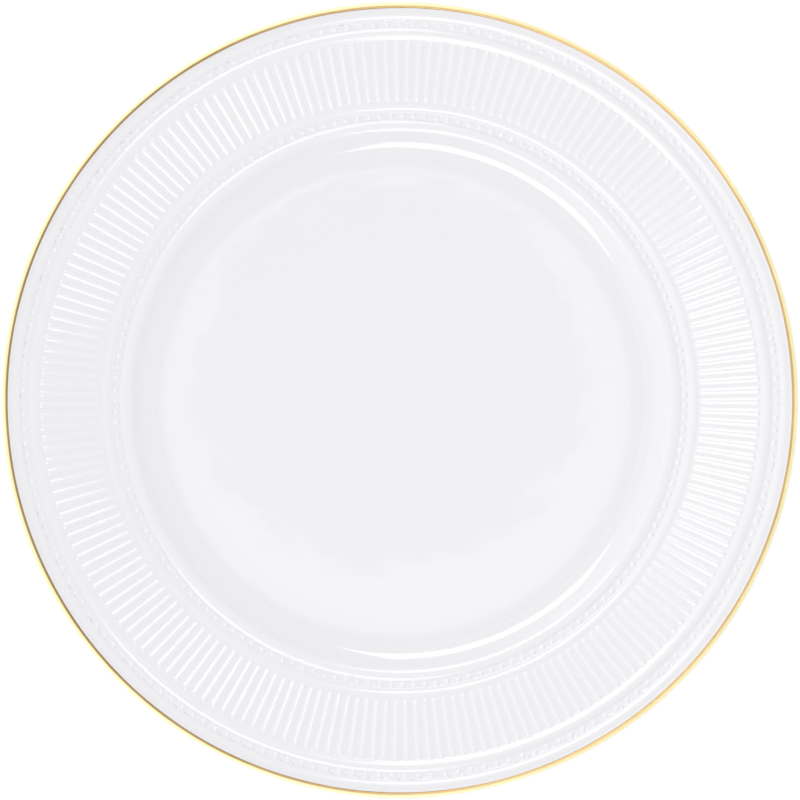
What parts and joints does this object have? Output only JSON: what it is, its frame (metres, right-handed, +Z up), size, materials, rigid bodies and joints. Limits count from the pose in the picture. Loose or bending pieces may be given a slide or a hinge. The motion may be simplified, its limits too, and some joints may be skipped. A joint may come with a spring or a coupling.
{
  "type": "dinner plate",
  "caption": "Round white china dinner plate with a beaded and fluted rim, raised rings and a gilt band on its lip, standing on a low foot ring.",
  "frame": {"origin": "centre of the foot ring's bearing plane, on the plate's axis", "axes": "+Z up along the plate's axis, from the foot to the face; X and Y are alike, because the plate is round"},
  "size_m": [0.27, 0.27, 0.0222],
  "materials": {
    "bare_porcelain": "matte",
    "clear_glaze": "gloss",
    "burnished_gold": "polished"
  },
  "bodies": {
    "root": {"porcelain_body": "bare_porcelain", "glaze_coat": "clear_glaze", "foot_recess_glaze": "clear_glaze", "gilt_rim_band": "burnished_gold"}
  },
  "joints": []
}
